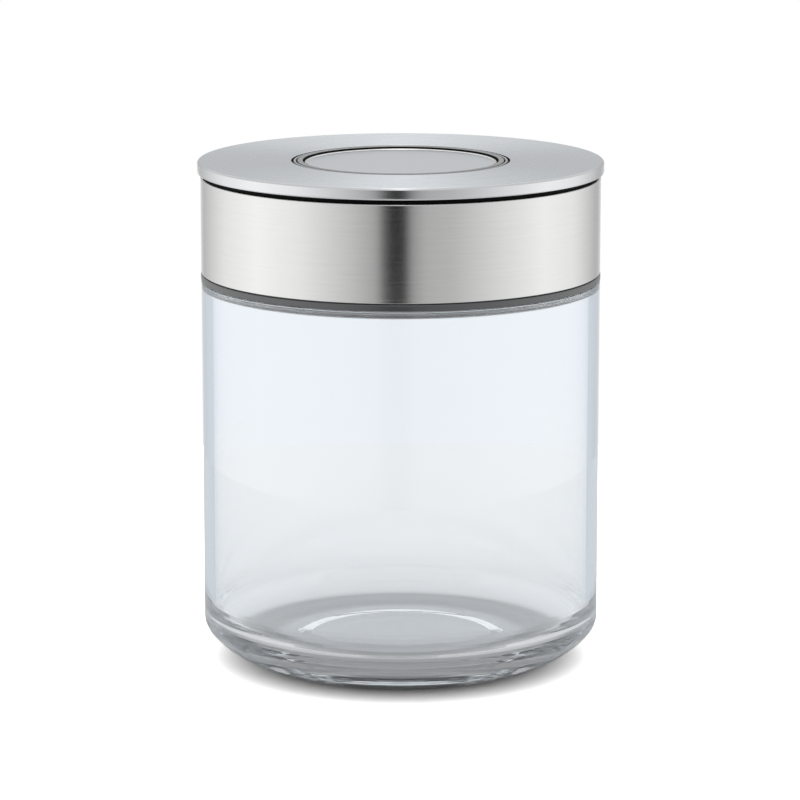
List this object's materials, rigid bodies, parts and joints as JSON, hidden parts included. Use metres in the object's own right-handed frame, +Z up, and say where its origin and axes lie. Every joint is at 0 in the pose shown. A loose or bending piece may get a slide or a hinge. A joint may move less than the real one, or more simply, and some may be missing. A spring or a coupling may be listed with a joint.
{
  "type": "storage jar with push-button lid",
  "caption": "Round glass storage jar with a rounded heel and a brushed steel lid. A flush round button pops up as a knob and works a gasket that seals the neck.",
  "frame": {"origin": "centre of the base, on the plane the jar stands on", "axes": "+Z up along the jar's axis; the jar is round, so +X and +Y are free"},
  "size_m": [0.1168, 0.1168, 0.1464],
  "materials": {
    "clear_glass": "clear polished",
    "brushed_steel": "brushed",
    "bright_steel": "bright",
    "grey_plastic": "satin",
    "dark_plastic": "satin",
    "button_plastic": "satin",
    "white_acetal": "satin",
    "silicone": "soft matt"
  },
  "bodies": {
    "jar": {"glass_jar": "clear_glass"},
    "lid": {"lid_housing": "grey_plastic", "steel_band": "brushed_steel", "top_carrier": "dark_plastic", "top_disc": "brushed_steel", "latch_sleeve": "white_acetal", "button_spring": "bright_steel", "gasket": "silicone", "lever_pin_1": "bright_steel", "lever_pin_2": "bright_steel", "lever_pin_3": "bright_steel", "lever_pin_4": "bright_steel", "cover_screw_1": "bright_steel", "cover_screw_2": "bright_steel", "cover_screw_3": "bright_steel", "cover_screw_4": "bright_steel"},
    "button": {"button_body": "button_plastic", "button_cap": "brushed_steel", "drum_screw": "bright_steel"},
    "drum": {"latch_drum": "white_acetal"},
    "lever_arm_1": {"lever_1": "white_acetal"},
    "lever_arm_2": {"lever_2": "white_acetal"},
    "lever_arm_3": {"lever_3": "white_acetal"},
    "lever_arm_4": {"lever_4": "white_acetal"},
    "seal_plate": {"lifter": "white_acetal", "clamp_plate": "grey_plastic", "bottom_cover": "grey_plastic", "plate_screw_1": "bright_steel", "plate_screw_2": "bright_steel", "plate_screw_3": "bright_steel", "plate_screw_4": "bright_steel"}
  },
  "joints": [
    {"name": "lid_lift", "type": "slide", "parent": "jar", "child": "lid", "axis": [0, 0, 1], "range_m": [0, 0.06]},
    {"name": "button_travel", "type": "slide", "parent": "lid", "child": "button", "axis": [0, 0, 1], "range_m": [-0.001, 0.013], "deforming": ["button_spring"]},
    {"name": "drum_turn", "type": "hinge", "parent": "button", "child": "drum", "pos_m": [0, 0, 0.133], "axis": [0, 0, 1], "range_deg": [-6.2, 78.2]},
    {"name": "lever_swing_1", "type": "hinge", "parent": "lid", "child": "lever_arm_1", "pos_m": [0.0246, 0, 0.1244], "axis": [0, -1, 0], "range_deg": [-0.8, 9.2]},
    {"name": "lever_swing_2", "type": "hinge", "parent": "lid", "child": "lever_arm_2", "pos_m": [0, 0.0246, 0.1244], "axis": [1, 0, 0], "range_deg": [-0.8, 9.2]},
    {"name": "lever_swing_3", "type": "hinge", "parent": "lid", "child": "lever_arm_3", "pos_m": [-0.0246, 0, 0.1244], "axis": [0, 1, 0], "range_deg": [-0.8, 9.2]},
    {"name": "lever_swing_4", "type": "hinge", "parent": "lid", "child": "lever_arm_4", "pos_m": [0, -0.0246, 0.1244], "axis": [-1, 0, 0], "range_deg": [-0.8, 9.2]},
    {"name": "seal_plate_travel", "type": "slide", "parent": "lid", "child": "seal_plate", "axis": [0, 0, 1], "range_m": [-0.00145, 0.00012], "deforming": ["gasket"]}
  ],
  "couplings": [
    {"joint": "drum_turn", "follows": "button_travel", "rad_per_m": 104.72},
    {"joint": "lever_swing_1", "follows": "button_travel", "rad_per_m": 12.201},
    {"joint": "lever_swing_2", "follows": "button_travel", "rad_per_m": 12.201},
    {"joint": "lever_swing_3", "follows": "button_travel", "rad_per_m": 12.201},
    {"joint": "lever_swing_4", "follows": "button_travel", "rad_per_m": 12.201},
    {"joint": "seal_plate_travel", "follows": "button_travel", "ratio": -0.10859}
  ]
}
